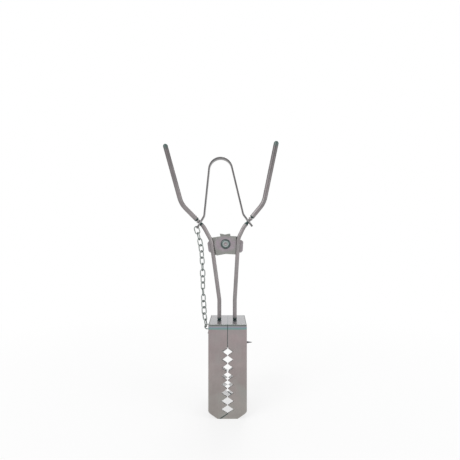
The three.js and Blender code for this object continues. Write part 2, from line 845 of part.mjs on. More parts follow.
function linkGeometry(outerLength) {
  const endRadius = linkWidth / 2 - linkWire / 2;
  const straight = outerLength / 2 - linkWire / 2 - endRadius;
  const rings = [];
  for (let step = 0; step < linkSteps; step += 1) {
    const angle = (TURN * (step + 1 / 2)) / linkSteps;
    const outward = new THREE.Vector3(Math.cos(angle), Math.sin(angle), 0);
    const centre = outward.clone().multiplyScalar(endRadius);
    centre.y += Math.sign(Math.sin(angle)) * straight;
    rings.push(ringAt(centre, linkWire / 2, outward, new THREE.Vector3(0, 0, -1), linkSides));
  }
  return ringBody(rings, true);
}

// Puts a link with its length along a direction of the XZ plane. At no twist its loop faces the front.
function placeLink(name, outerLength, centre, along, twist) {
  const mesh = add(name, linkGeometry(outerLength), chainSteel);
  const front = new THREE.Vector3(0, -1, 0);
  const across = along.clone().cross(front);
  const basis = new THREE.Matrix4().makeBasis(across, along, front);
  const lay = new THREE.Quaternion().setFromRotationMatrix(basis);
  const face = new THREE.Quaternion().setFromAxisAngle(new THREE.Vector3(0, 1, 0), twist);
  mesh.position.copy(centre);
  mesh.quaternion.copy(lay).multiply(face);
}

function chain() {
  const jointToWire = (linkWire + linkSlack) / 2;
  const firstDirection = leaning(180 - firstLinkLean);
  const bowRadius = (linkWidth - linkWire) / 2;
  const bowRoom = bowRadius - linkWire / 2 - clearance;
  const bowInset = Math.sqrt(bowRoom ** 2 - (stripThickness / 2) ** 2);
  const firstBow = chainHole.clone().addScaledVector(leftTail, chainHoleRadius + bowInset);
  const firstReach = jointToWire + nominalLinkPitch - bowRadius;
  const secondJoint = firstBow.clone().addScaledVector(firstDirection, firstReach);
  const endJoint = new THREE.Vector2(stapleLoopX, stapleZ + jointToWire);
  const chord = endJoint.clone().sub(secondJoint);
  const across = new THREE.Vector2(-chord.y, chord.x);
  const belly = chainBellyShares.map(([alongShare, acrossShare]) =>
    secondJoint.clone().addScaledVector(chord, alongShare).addScaledVector(across, acrossShare),
  );
  const route = new THREE.SplineCurve([secondJoint, ...belly, endJoint]);
  const spaces = Math.round(route.getLength() / nominalLinkPitch);
  const pitch = route.getLength() / spaces;
  const hanging = spaces + 1;
  const startJoint = secondJoint.clone().addScaledVector(firstDirection, -pitch);
  const joints = [startJoint, ...route.getSpacedPoints(spaces)];
  const outerLength = pitch + 2 * jointToWire + linkWire;
  const quarterTurns = hanging % 2 === 0 ? hanging - 1 : hanging;
  const digits = 2;
  const nameOf = (i) => `chain_link_${String(i + 1).padStart(digits, "0")}`;
  for (let i = 0; i < hanging; i += 1) {
    const heading = joints[i + 1].clone().sub(joints[i]).normalize();
    const middle = joints[i].clone().lerp(joints[i + 1], 1 / 2);
    const along = new THREE.Vector3(heading.x, 0, heading.y);
    const progress = i / (hanging - 1);
    const swing = (linkSwing * DEGREE * (1 - Math.cos(TURN * progress))) / 2;
    const facing = (TURN / 4) * quarterTurns * progress + swing;
    placeLink(nameOf(i), outerLength, new THREE.Vector3(middle.x, 0, middle.y), along, facing);
  }
  const inward = new THREE.Vector3(1, 0, 0);
  const loopToCentre = outerLength / 2 - linkWire - linkWire / 2 - clearance;
  const centre = new THREE.Vector3(stapleLoopX + loopToCentre, 0, stapleZ);
  placeLink(nameOf(hanging), outerLength, centre, inward, 0);
}
chain();

// The origin lies under the middle of the whole trap, on the plane that the jaws stand on.
const extent = new THREE.Box3().setFromObject(trap);
trap.position.set(-(extent.min.x + extent.max.x) / 2, -(extent.min.y + extent.max.y) / 2, 0);

export default trap;
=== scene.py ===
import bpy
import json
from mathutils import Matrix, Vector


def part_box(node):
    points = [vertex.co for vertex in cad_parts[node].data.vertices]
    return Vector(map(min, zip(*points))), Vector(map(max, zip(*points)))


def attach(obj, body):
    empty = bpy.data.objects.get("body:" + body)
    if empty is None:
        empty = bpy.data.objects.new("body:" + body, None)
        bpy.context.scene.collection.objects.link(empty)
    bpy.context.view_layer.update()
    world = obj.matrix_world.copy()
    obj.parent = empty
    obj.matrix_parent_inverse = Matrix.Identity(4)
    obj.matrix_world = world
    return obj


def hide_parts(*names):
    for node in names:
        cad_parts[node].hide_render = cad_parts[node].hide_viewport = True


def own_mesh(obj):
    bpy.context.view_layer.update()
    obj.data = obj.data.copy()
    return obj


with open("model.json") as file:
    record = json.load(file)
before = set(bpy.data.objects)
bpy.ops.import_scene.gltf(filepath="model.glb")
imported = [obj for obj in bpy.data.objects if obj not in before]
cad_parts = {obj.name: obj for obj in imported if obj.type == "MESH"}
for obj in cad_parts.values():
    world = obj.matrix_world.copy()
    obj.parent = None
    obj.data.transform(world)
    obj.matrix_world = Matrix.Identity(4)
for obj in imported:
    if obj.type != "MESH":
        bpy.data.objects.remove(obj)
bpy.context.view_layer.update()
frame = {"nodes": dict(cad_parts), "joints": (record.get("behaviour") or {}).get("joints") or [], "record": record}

import json
import math

import bmesh
import bpy
from mathutils import Matrix, Quaternion, Vector


# Photograph's stand: a level view from just above the toothed box, a pale
# floor that fades to white and still takes the trap's shadow, and soft boxes
# above, left and right.
mm = 0.001
jaw_low, jaw_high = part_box("left_jaw")
box_width = 40 * mm
box_height = jaw_high.z
box_middle_x = jaw_low.x + box_width / 2
lens_length = 23.8
lens_place = (box_middle_x + 2.51 * mm, -337 * mm, 173.3 * mm)
lens_drop = 0.0435
sensor_width = 36
clip_from, clip_to = 5 * mm, 50
soft_boxes = (
    # place in metres, size in metres, watts
    ((-0.60, -0.60, 0.80), 0.6, 3.4),
    ((0.75, -0.45, 0.50), 0.6, 1.6),
    ((0.10, 0.60, 0.75), 0.6, 2.2),
)
lamp_aim_height = 140 * mm
surroundings = 0.66
floor_radius = 3.0
floor_sides = 96
floor_drop = 0.05 * mm
floor_colour = (0.86, 0.86, 0.86, 1)
floor_roughness = 0.9
shadow_depth = 0.26
shadow_fades = (0.10, 0.60)

camera = bpy.data.objects.new("viewpoint", bpy.data.cameras.new("viewpoint"))
bpy.context.scene.collection.objects.link(camera)
camera.location = lens_place
camera.rotation_euler = (math.pi / 2, 0, 0)
camera.data.lens = lens_length
camera.data.sensor_width = sensor_width
camera.data.shift_y = lens_drop
camera.data.clip_start = clip_from
camera.data.clip_end = clip_to
bpy.context.scene.camera = camera
bpy.context.scene.view_settings.view_transform = "Standard"

for number, (place, width, power) in enumerate(soft_boxes):
    lamp = bpy.data.lights.new(f"soft_box_{number}", "AREA")
    lamp.shape = "DISK"
    lamp.size = width
    lamp.energy = power
    holder = bpy.data.objects.new(f"soft_box_{number}", lamp)
    bpy.context.scene.collection.objects.link(holder)
    holder.location = place
    aim = Vector((box_middle_x, 0, lamp_aim_height)) - Vector(place)
    holder.rotation_euler = aim.to_track_quat("-Z", "Y").to_euler()


def node(tree, kind, *sources, **settings):
    """Adds a shader node. Sources go to its sockets in order, settings to its choices or sockets
    by name, and what comes from another node is linked."""
    made = tree.nodes.new(kind)
    named = []
    for name, value in settings.items():
        if hasattr(made, name):
            setattr(made, name, value)
        else:
            named.append((made.inputs[name.replace("_", " ")], value))
    for socket, value in [*zip(made.inputs, sources), *named]:
        if isinstance(value, bpy.types.NodeSocket):
            tree.links.new(value, socket)
        else:
            socket.default_value = value
    return made


def reckon(tree, operation, *values):
    """The outcome of one sum on numbers that vary over the surface."""
    return node(tree, "ShaderNodeMath", *values, operation=operation).outputs[0]


def graded(tree, value, span, shares=(0, 1), smooth=False):
    """A share that goes from the first of two to the second as the value crosses its span."""
    course = "SMOOTHSTEP" if smooth else "LINEAR"
    made = node(tree, "ShaderNodeMapRange", value, *span, *shares, interpolation_type=course)
    return made.outputs["Result"]


def how_far(tree, centre, weights=(1, 1, 1)):
    """Distance from a centre, with each direction weighted."""
    place = node(tree, "ShaderNodeTexCoord").outputs["Object"]
    off = node(tree, "ShaderNodeVectorMath", place, centre, operation="SUBTRACT").outputs["Vector"]
    weighed = node(tree, "ShaderNodeVectorMath", off, weights, operation="MULTIPLY").outputs["Vector"]
    return node(tree, "ShaderNodeVectorMath", weighed, operation="LENGTH").outputs["Value"]


def seen_directly(tree):
    """1 for rays of the eye, of a reflection or through glass, 0 for those that light."""
    path = node(tree, "ShaderNodeLightPath").outputs
    found = reckon(tree, "MAXIMUM", path["Is Camera Ray"], path["Is Glossy Ray"])
    return reckon(tree, "MAXIMUM", found, path["Is Transmission Ray"])


world = bpy.data.worlds.new("white_room")
world.use_nodes = True
bpy.context.scene.world = world
room = world.node_tree
wall = room.nodes["Background"]
wall.inputs["Color"].default_value = (1, 1, 1, 1)
level = graded(room, seen_directly(room), (0, 1), (surroundings, 1))
room.links.new(level, wall.inputs["Strength"])

floor_mesh = bpy.data.meshes.new("floor")
form = bmesh.new()
bmesh.ops.create_circle(form, cap_ends=True, segments=floor_sides, radius=floor_radius)
form.to_mesh(floor_mesh)
form.free()
floor = bpy.data.objects.new("floor", floor_mesh)
bpy.context.scene.collection.objects.link(floor)
floor.location = (box_middle_x, 0, -floor_drop)
paper = bpy.data.materials.new("white_paper")
paper.use_nodes = True
sheet = paper.node_tree
shade = sheet.nodes["Principled BSDF"]
shade.inputs["Base Color"].default_value = floor_colour
shade.inputs["Roughness"].default_value = floor_roughness
glow = node(sheet, "ShaderNodeEmission", Strength=1.0)
fade = graded(sheet, how_far(sheet, (0, 0, 0)), shadow_fades, (1 - shadow_depth, 1), smooth=True)
paleness = reckon(sheet, "MULTIPLY", fade, seen_directly(sheet))
mixed = node(sheet, "ShaderNodeMixShader", paleness, shade.outputs["BSDF"], glow.outputs["Emission"])
sheet.links.new(mixed.outputs["Shader"], sheet.nodes["Material Output"].inputs["Surface"])
floor.data.materials.append(paper)


# Two bars: drawn round mild-steel wire, cut off, bent four times over a former and turned down to
# a neck where the spring sits. The grip's end is domed and dipped in green lacquer, and the foot
# has a tenon that is hammered over inside the box.
leg_radius = 2.2 * mm
neck_radius = 1.6 * mm
grip_foot_radius = 2.6 * mm
grip_tip_radius = 2.71 * mm
bar_bends = (20 * mm, 20 * mm, 20 * mm, 26 * mm)
bar_foot_gap = 0.3 * mm
foot_chamfer = 0.25 * mm
foot_length = 4.2 * mm
wall_thickness = 1.5 * mm
tenon_radius = 1.7 * mm
tenon_head_radius = 3.3 * mm
tenon_head_height = 1.4 * mm
tenon_head_flat = 0.45
bars = {
    # place and lengths in millimetres, leans in degrees from upright
    "left": {
        "foot": -9.3, "runs": (21.6, 65.9, 18.2, 34.8, 69.0),
        "leans": (0, -7.8, -28.6, -44.6, -15.4), "seat": 5.2, "tail_lean": 31,
    },
    "right": {
        "foot": 7.8, "runs": (21.6, 68, 14.1, 34.8, 69.84),
        "leans": (0, 3.3, 26, 39.6, 11.7), "seat": 7.9, "tail_lean": 36.9,
    },
}
strip_thickness = 1.8 * mm
collar_radius = 2.4 * mm
collar_height = 1.6 * mm
collar_gap = 0.3 * mm
collar_groove = 1.0 * mm
seat_play = {"left": 0.3 * mm, "right": 1.5 * mm}
leg_round, grip_round = 0.3 * mm, 0.4 * mm
leg_clear, grip_clear = 0.1 * mm, 0.2 * mm
tip_length = grip_tip_radius + 8.5 * mm
tip_rings = (8.0 * mm, 2.75 * mm)
bend_degrees, ring_spacing = 2, 3 * mm
round_sides = 48
upright, backward = Vector((0, 0, 1)), Vector((0, 1, 0))

grip_dark_span, grip_dark_cast = (205 * mm, 290 * mm), (0.49, 0.465, 0.47)
dip_fades, dip_most, dip_colour = (3.5 * mm, 8.5 * mm), 0.95, (0.084, 0.124, 0.116)
grip_darkening, grip_dark_full_at = 0.09, 0.4
# Painted shade darkens the tenon, the foot by the box, the neck beside the strip and the shoulder below the grip.
tenon_shade, seat_shade, seat_top_shade, shoulder_shade = 0.5, 0.5, 0.1, 0.9
grip_shade_ends = 1.2 * mm
# millimetres below the neck and above the box, and the share of painted shade there
leg_shades = ((1.9, 0), (1.0, 0.75), (0.35, 1))
foot_shades = ((0.25, 1), (1.1, 0.9), (1.8, 0.45), (2.8, 0.1), (4.0, 0))

metallic = 0.92
oxide_span = (0.32, 0.68)
cast_scale, cast_span, cast_most = 1.9, (0.45, 0.75), 0.7
line_span = (0.3, 0.7)
smoother, rougher = 0.05, 0.06
pit_scale, pit_span, pit_dark = 1900.0, (0, 0.16), 0.88
edge_span, edge_colour = (0.52, 0.62), (0.46, 0.46, 0.45)
stain_and_shade_colour = (0.018, 0.048, 0.044)
relief_height = 0.12 * mm


def leaning(degrees):
    """Direction in the plane of the bars, this many degrees from upright towards the right."""
    return Vector((math.sin(math.radians(degrees)), 0, math.cos(math.radians(degrees))))


def square_to(heading):
    """Direction in the plane of the bars, a quarter turn from a heading."""
    return Vector((heading.z, 0, -heading.x))


def quarter(steps):
    """Sine and cosine at even steps over a quarter turn."""
    angles = [math.pi / 2 * step / steps for step in range(steps + 1)]
    return [(math.sin(a), math.cos(a)) for a in angles]


def rounded_route(corners, radii, degrees, spacing):
    """Points and headings along straight runs joined by round bends, about so many degrees and
    no more than about a spacing apart."""
    heading = (corners[1] - corners[0]).normalized()
    turns = [(corners[0], heading)]
    for corner, after, radius in zip(corners[1:-1], corners[2:], radii):
        onward = (after - corner).normalized()
        sign = 1 if heading.cross(onward).dot(backward) > 0 else -1
        angle = heading.angle(onward)
        begin = corner - heading * radius * math.tan(angle / 2)
        middle = begin + Quaternion(backward, sign * math.pi / 2) @ heading * radius
        steps = max(2, math.ceil(math.degrees(angle) / degrees))
        for step in range(steps + 1):
            spin = Quaternion(backward, sign * angle * step / steps)
            turns.append((middle + spin @ (begin - middle), spin @ heading))
        heading = onward
    turns.append((corners[-1], heading))
    stops = []
    for (here, heading), (there, onward) in zip(turns, turns[1:]):
        pieces = max(1, round((there - here).length / spacing))
        for share in [step / pieces for step in range(pieces)]:
            stops.append((here.lerp(there, share), heading.lerp(onward, share).normalized()))
    return [*stops, turns[-1]]


def run_lengths(points):
    """How far along a run each point lies, in centimetres."""
    lengths = [0.0]
    for before, after in zip(points, points[1:]):
        lengths.append(lengths[-1] + (after - before).length / (10 * mm))
    return lengths


def round_ring(centre, across, out, radius, sides):
    """Points round a centre, from the direction across towards the direction out."""
    turns = [2 * math.pi * s / sides for s in range(sides)]
    return [centre + (across * math.cos(a) + out * math.sin(a)) * radius for a in turns]


def smoothed(mesh, degrees=40):
    """Smooth shading but for edges sharper than this."""
    for face in mesh.polygons:
        face.use_smooth = True
    mesh.set_sharp_from_angle(angle=math.radians(degrees))


def new_piece(name, form, finish):
    """A piece at the origin, from a form and in a finish."""
    mesh = bpy.data.meshes.new(name)
    form.normal_update()
    form.to_mesh(mesh)
    form.free()
    piece = bpy.data.objects.new(name, mesh)
    bpy.context.scene.collection.objects.link(piece)
    mesh.materials.append(finish)
    smoothed(mesh)
    return piece


def swept(name, rings, lengths, finish, closed=False, stains_and_shades=None):
    """A closed body through rings of points, with a map of run along and turn around.
    stains_and_shades gives, ring by ring, how far it is darkened, mostly as painted shade."""
    form = bmesh.new()
    run = form.loops.layers.uv.new("run")
    stain_and_shade = form.verts.layers.float.new("stain_and_shade")
    sides = len(rings[0])
    loops = [[form.verts.new(point) for point in ring] for ring in rings]
    for ring, share in zip(loops, stains_and_shades or [0] * len(rings)):
        for vert in ring:
            vert[stain_and_shade] = share
    pairs = len(rings) if closed else len(rings) - 1
    for r in range(pairs):
        here, there = loops[r], loops[(r + 1) % len(rings)]
        for s in range(sides):
            t = (s + 1) % sides
            face = form.faces.new((here[s], here[t], there[t], there[s]))
            where = ((s, r), (s + 1, r), (s + 1, r + 1), (s, r + 1))
            for corner, (around, along) in zip(face.loops, where):
                corner[run].uv = (around / sides, lengths[along])
    if not closed:
        form.faces.new(list(reversed(loops[0])))
        form.faces.new(loops[-1])
    bmesh.ops.recalc_face_normals(form, faces=form.faces)
    return new_piece(name, form, finish)


def clouded(tree, place, scale, detail, roughness=0.5):
    """Cloudy noise, so many times a metre."""
    made = node(tree, "ShaderNodeTexNoise", place, Scale=scale, Detail=detail, Roughness=roughness)
    return made.outputs["Fac"]


def laid_over(tree, under, colour, share):
    """A colour laid by a share over what is under it."""
    made = node(tree, "ShaderNodeMix", share, data_type="RGBA")
    first, second = [socket for socket in made.inputs if socket.type == "RGBA"]
    if isinstance(under, tuple):
        first.default_value = (*under, 1)
    else:
        tree.links.new(under, first)
    second.default_value = (*colour, 1)
    return [socket for socket in made.outputs if socket.type == "RGBA"][0]


def tinged(tree, tone, cast):
    """A colour multiplied by a faint cast."""
    return node(tree, "ShaderNodeVectorMath", tone, cast, operation="MULTIPLY").outputs["Vector"]


def dimmed(tree, tone, share):
    """A colour scaled by one number."""
    return node(tree, "ShaderNodeVectorMath", tone, operation="SCALE", Scale=share).outputs["Vector"]


def steel(name, dark, pale, tint, roughness, lines, clouds, on_run=True,
          scratch=0.07, bump=0.12, wear=0.55, marked=None):
    """Satin steel: cloudy oxide over a base grey, drawing lines, pits and paler worn edges, darkened
    by the stain_and_shade attribute, mostly painted shade. marked may lay more over it, and returns the new colour
    and roughness."""
    made = bpy.data.materials.new(name)
    made.use_nodes = True
    tree = made.node_tree
    shade = tree.nodes["Principled BSDF"]
    shade.inputs["Metallic"].default_value = metallic

    spot = node(tree, "ShaderNodeTexCoord").outputs["Object"]
    route = node(tree, "ShaderNodeUVMap", uv_map="run").outputs["UV"] if on_run else spot
    drawn = node(tree, "ShaderNodeMapping", route, Scale=lines).outputs["Vector"]
    line = clouded(tree, drawn, 1, 6, 0.65)
    cloud = clouded(tree, spot, clouds, 5, 0.6)
    cast = clouded(tree, spot, clouds * cast_scale, 3)
    pit = node(tree, "ShaderNodeTexVoronoi", spot, Scale=pit_scale).outputs["Distance"]
    worn = node(tree, "ShaderNodeNewGeometry").outputs["Pointiness"]
    stain_and_shade = node(tree, "ShaderNodeAttribute", attribute_name="stain_and_shade").outputs["Fac"]

    base = node(tree, "ShaderNodeValToRGB", cloud)
    for stop, place, colour in zip(base.color_ramp.elements, oxide_span, (dark, pale)):
        stop.position = place
        stop.color = (*colour, 1)
    tone = laid_over(tree, base.outputs["Color"], tint, graded(tree, cast, cast_span, (0, cast_most)))
    tone = laid_over(tree, tone, edge_colour, graded(tree, worn, edge_span, (0, wear)))
    marks = reckon(tree, "MULTIPLY", graded(tree, pit, pit_span, (pit_dark, 1)),
                   graded(tree, line, line_span, (1 - scratch, 1 + scratch / 2)))
    tone = dimmed(tree, tone, marks)
    matt = graded(tree, line, line_span, (roughness - smoother, roughness + rougher))
    if marked:
        tone, matt = marked(tree, tone, matt)
    # The stain_and_shade attribute lays painted shade, and the grips' darkening, in this colour.
    tree.links.new(laid_over(tree, tone, stain_and_shade_colour, stain_and_shade), shade.inputs["Base Color"])
    tree.links.new(matt, shade.inputs["Roughness"])
    relief = node(tree, "ShaderNodeBump", Strength=bump, Distance=relief_height, Height=marks)
    tree.links.new(relief.outputs["Normal"], shade.inputs["Normal"])
    return made


def bar_corners(side):
    """Where the bar's straight runs would meet, from its foot to its tip."""
    shape = bars[side]
    corners = [Vector((box_middle_x + shape["foot"] * mm, 0, box_height + bar_foot_gap))]
    for lean, length in zip(shape["leans"], shape["runs"]):
        corners.append(corners[-1] + leaning(lean) * length * mm)
    return corners


def darker_grips(tree, tone, matt):
    """The grips go darker towards their tips, and the tips are dipped in lacquer."""
    place = node(tree, "ShaderNodeTexCoord").outputs["Object"]
    height = node(tree, "ShaderNodeSeparateXYZ", place).outputs["Z"]
    cast = laid_over(tree, (1, 1, 1), grip_dark_cast, graded(tree, height, grip_dark_span))
    tone = tinged(tree, tone, cast)
    for side in bars:
        wet = graded(tree, how_far(tree, bar_corners(side)[-1]), dip_fades, (dip_most, 0))
        tone = laid_over(tree, tone, dip_colour, wet)
    return tone, matt


bar_steel = steel("drawn_wire", dark=(0.235, 0.213, 0.217), pale=(0.325, 0.300, 0.304),
                  tint=(0.255, 0.255, 0.25), roughness=0.44, lines=(12.0, 0.5, 1.0), clouds=55,
                  scratch=0.05, bump=0.08, marked=darker_grips)


def spring_seat(side):
    """Middle of the spring's seat on a bar, the bar's heading there, and the tail's heading."""
    corners = bar_corners(side)
    heading = (corners[4] - corners[3]).normalized()
    outward = -1 if side == "left" else 1
    tail = leaning(180 - outward * bars[side]["tail_lean"])
    return corners[3] + heading * bars[side]["seat"] * mm, heading, tail


def strip_reach(side):
    """How far the tilted strip reaches along the neck from the middle of its seat."""
    _, heading, tail = spring_seat(side)
    tilt = math.asin(abs(heading.dot(tail)))
    return strip_thickness / 2 / math.cos(tilt) + collar_radius * math.tan(tilt) + seat_play[side]


def turned_neck(side):
    """The neck's profile: how far along the bar from the seat's middle, radius and painted shade."""
    reach = strip_reach(side)
    grip_start = reach + collar_height + collar_gap + collar_groove
    profile = [(-reach - before * mm, leg_radius, stain_and_shade) for before, stain_and_shade in leg_shades]
    for sine, cosine in quarter(2):
        profile.append((-reach - leg_round * (1 - sine), leg_radius - leg_round * (1 - cosine), 1))
    profile += [
        (-reach, neck_radius, 1),
        (reach - seat_play[side], neck_radius, seat_shade),
        (reach, neck_radius, seat_top_shade),
        (grip_start, neck_radius, 1),
    ]
    for sine, cosine in reversed(quarter(2)):
        rounded = grip_foot_radius - grip_round * (1 - cosine)
        profile.append((grip_start + grip_round * (1 - sine), rounded, shoulder_shade))
    return [*profile, (grip_start + grip_shade_ends, grip_foot_radius, 0)]


def make_bar(side):
    """One bar as rings from the hammered tenon to the domed tip, with painted shade or the grip's darkening for
    each ring.
    """
    corners = bar_corners(side)
    foot, tip = corners[0], corners[-1]
    under = -bar_foot_gap * 2 - wall_thickness
    stations = []
    for sine, cosine in quarter(4):
        radius = tenon_head_radius * (tenon_head_flat + (1 - tenon_head_flat) * sine)
        low = foot + upright * (under - tenon_head_height * cosine)
        stations.append((low, upright, radius, tenon_shade))
    stations += [
        (foot + upright * under, upright, tenon_radius, 1),
        (foot, upright, tenon_radius, 1),
        (foot, upright, leg_radius - foot_chamfer, 1),
    ]
    for rise, stain_and_shade in foot_shades:
        stations.append((foot + upright * rise * mm, upright, leg_radius, stain_and_shade))

    middle, heading, _ = spring_seat(side)
    neck = turned_neck(side)
    route = rounded_route(corners, bar_bends, bend_degrees, ring_spacing)
    for point, direction in route:
        along = (point - middle).dot(heading)
        if along < neck[0][0] - leg_clear and (point - foot).length >= foot_length:
            stations.append((point, direction, leg_radius, 0))
    stations += [(middle + heading * along, heading, radius, stain_and_shade) for along, radius, stain_and_shade in neck]
    last_bend = corners[-2]
    for point, direction in route:
        along = (point - middle).dot(heading)
        if along > neck[-1][0] + grip_clear and (tip - point).length >= tip_length:
            on_grip = max(0, (point - last_bend).dot(direction)) / (tip - last_bend).length
            swelling = (grip_tip_radius - grip_foot_radius) * min(on_grip, 1)
            film = grip_darkening * min(1, on_grip / grip_dark_full_at)
            stations.append((point, direction, grip_foot_radius + swelling, film))
    onward = (tip - last_bend).normalized()
    stations += [(tip - onward * back, onward, grip_tip_radius, grip_darkening) for back in tip_rings]
    for sine, cosine in quarter(12)[1:-1]:
        domed = tip - onward * grip_tip_radius * (1 - sine)
        stations.append((domed, onward, grip_tip_radius * cosine, grip_darkening))

    rings = [round_ring(point, square_to(direction), backward, radius, round_sides)
             for point, direction, radius, _ in stations]
    points, _, _, stains_and_shades = zip(*stations)
    bar = swept(f"{side}_bar", rings, run_lengths(points), bar_steel, stains_and_shades=stains_and_shades)
    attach(bar, f"{side}_arm")
    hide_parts(f"{side}_rod")


for side in bars:
    make_bar(side)


# Collars: short steel tubes slipped over the necks and crimped in three
# places, so that the spring can't ride up the bars.
collar_bore = neck_radius + 0.3 * mm
collar_nose = 0.25 * mm
crimps, crimp_depth = 3, 0.16 * mm
collar_steel = steel("crimped_collar", dark=(0.25, 0.23, 0.232), pale=(0.37, 0.345, 0.348),
                     tint=(0.28, 0.275, 0.27), roughness=0.40, lines=(18.0, 8.0, 1.0), clouds=160)


def crimped(radius, along, angle):
    """The collar's radius, pressed in at three places on its outside."""
    if radius <= collar_bore:
        return radius
    pressed = max(0, math.cos(crimps * angle)) ** 3 * math.sin(math.pi * along / collar_height) ** 2
    return radius - crimp_depth * pressed


def make_collar(side):
    """One collar as rings along its bore, round its nose, over its outside and back."""
    middle, heading, _ = spring_seat(side)
    start = middle + heading * strip_reach(side)
    nose = [(collar_radius - collar_nose * (1 - sine), collar_nose * (1 - cosine))
            for sine, cosine in quarter(4)]
    flat = collar_height - 2 * collar_nose
    profile = [(collar_bore, 0), *nose]
    profile += [(collar_radius, collar_nose + flat * step / 8) for step in range(1, 8)]
    profile += [(radius, collar_height - along) for radius, along in reversed(nose)]
    profile.append((collar_bore, collar_height))
    around = round_ring(Vector(), square_to(heading), backward, 1, round_sides)
    rings = []
    for radius, along in profile:
        centre = start + heading * along
        rings.append([centre + out * crimped(radius, along, 2 * math.pi * s / round_sides)
                      for s, out in enumerate(around)])
    lengths = [number / 10 for number in range(len(rings) + 1)]
    collar = swept(f"{side}_neck_collar", rings, lengths, collar_steel, closed=True)
    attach(collar, f"{side}_arm")
    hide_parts(f"{side}_collar")


for side in bars:
    make_collar(side)


# Strip spring: tempered flat steel, bent to a narrow U with two kinks, pierced
# at both ends for the bars' necks and once more for the chain. It is sprung
# over the necks and closes a little as the grips are squeezed; here it stays whole and moves with the left arm.
strip_width = 6.5 * mm
strip_edge = 0.45 * mm
arch_radius = 12.78 * mm
kink_bend = 7 * mm
kink_runs = {"left": 8.9 * mm, "right": 9.7 * mm}
tail_run = 7 * mm
leg_leans = {"left": 5.9, "right": -13.5}
seat_hole_radius, seat_punch = 2.1 * mm, 12 * mm
seat_slot = {"left": 0, "right": 1.1 * mm}
chain_hole_radius, chain_punch = 1.6 * mm, 8 * mm
chain_hole_edge = 2.5 * mm
on_middle = 1e-12
edge_facing, edge_dark = (0.35, 0.85), 0.5
seat_rub, rub_most = (4.2 * mm, 5.7 * mm), 0.95
under_facing, underside_shade = (-0.9, -0.3), 0.82
strip_bend_degrees, strip_spacing = 5, 2 * mm


def dark_edges_shaded_under(tree, tone, matt):
    """The two sheared edges are darker than the rolled faces but for the seats, where they are
    rubbed bright, and faces turned downwards get painted shade."""
    turned = node(tree, "ShaderNodeTexCoord").outputs["Normal"]
    facing = node(tree, "ShaderNodeSeparateXYZ", turned).outputs
    light = graded(tree, reckon(tree, "ABSOLUTE", facing["Y"]), edge_facing, (1, edge_dark))
    for side in bars:
        rubbed = graded(tree, how_far(tree, spring_seat(side)[0]), seat_rub, (rub_most, 0))
        light = reckon(tree, "MAXIMUM", light, rubbed)
    # Painted shade on faces turned downwards.
    shaded_under = graded(tree, facing["Z"], under_facing, (underside_shade, 1))
    return dimmed(tree, tone, reckon(tree, "MULTIPLY", light, shaded_under)), matt


spring_steel = steel("tempered_strip", dark=(0.25, 0.238, 0.24), pale=(0.36, 0.343, 0.345),
                     tint=(0.27, 0.28, 0.285), roughness=0.33, lines=(16.0, 1.0, 1.0), clouds=90,
                     marked=dark_edges_shaded_under)


def crossing(a, along_a, b, along_b):
    """Where a line from a meets a line from b, in the plane of the bars."""
    across_b = square_to(along_b)
    return a + along_a * ((b - a).dot(across_b) / along_a.dot(across_b))


left_middle, _, left_tail = spring_seat("left")
right_middle, _, right_tail = spring_seat("right")
left_kink = left_middle - left_tail * kink_runs["left"]
right_kink = right_middle - right_tail * kink_runs["right"]
peak = crossing(left_kink, leaning(leg_leans["left"]), right_kink, leaning(leg_leans["right"]))
left_end = left_middle + left_tail * tail_run
right_end = right_middle + right_tail * tail_run
chain_hole = left_end - left_tail * chain_hole_edge
strip_section = []
for corner, (x, y) in enumerate(((1, 1), (-1, 1), (-1, -1), (1, -1))):
    for step in range(5):
        a = (corner + step / 4) * math.pi / 2
        strip_section.append((
            x * (strip_thickness / 2 - strip_edge) + strip_edge * math.cos(a),
            y * (strip_width / 2 - strip_edge) + strip_edge * math.sin(a),
        ))
strip_stops = rounded_route([left_end, left_kink, peak, right_kink, right_end],
                            [kink_bend, arch_radius, kink_bend], strip_bend_degrees, strip_spacing)
strip_rings = [[point + square_to(heading) * x + backward * y for x, y in strip_section]
               for point, heading in strip_stops]
strip_lengths = run_lengths([point for point, _ in strip_stops])
spring = swept("strip_spring", strip_rings, strip_lengths, spring_steel)


def pierced(piece, middle, direction, radius, depth, slot=Vector()):
    """Cuts a round hole through a piece, or one drawn out by a slot to each side."""
    form = bmesh.new()
    bmesh.ops.create_cone(form, cap_ends=True, segments=round_sides, radius1=radius, radius2=radius,
                          depth=depth)
    turn = direction.to_track_quat("Z", "Y")
    along = turn.inverted() @ slot
    for vert in form.verts:
        side = vert.co.dot(along)
        if abs(side) > on_middle:
            vert.co += along * math.copysign(1, side)
    punch_mesh = bpy.data.meshes.new("punch")
    form.to_mesh(punch_mesh)
    form.free()
    punch = bpy.data.objects.new("punch", punch_mesh)
    bpy.context.scene.collection.objects.link(punch)
    punch.rotation_mode = "QUATERNION"
    punch.rotation_quaternion = turn
    punch.location = middle
    cut = piece.modifiers.new("hole", "BOOLEAN")
    cut.operation = "DIFFERENCE"
    cut.object = punch
    cut.solver = "EXACT"
    bpy.context.view_layer.update()
    graph = bpy.context.evaluated_depsgraph_get()
    done = bpy.data.meshes.new_from_object(piece.evaluated_get(graph))
    piece.modifiers.clear()
    whole = piece.data
    piece.data = done
    bpy.data.meshes.remove(whole)
    bpy.data.objects.remove(punch)
    smoothed(done)


for side in bars:
    middle, heading, tail = spring_seat(side)
    pierced(spring, middle, heading, seat_hole_radius, seat_punch, tail * seat_slot[side])
pierced(spring, chain_hole, -square_to(left_tail), chain_hole_radius, chain_punch)
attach(spring, "left_arm")
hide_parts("spring")

# The opening joint's hinge, which places the rivet and trims the rear plate's ear, and a mesh of the strip's own.
opening = next(joint for joint in frame["joints"] if joint["name"] == "jaw_opening")
hinge = Vector(opening["pos_m"])
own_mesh(spring)


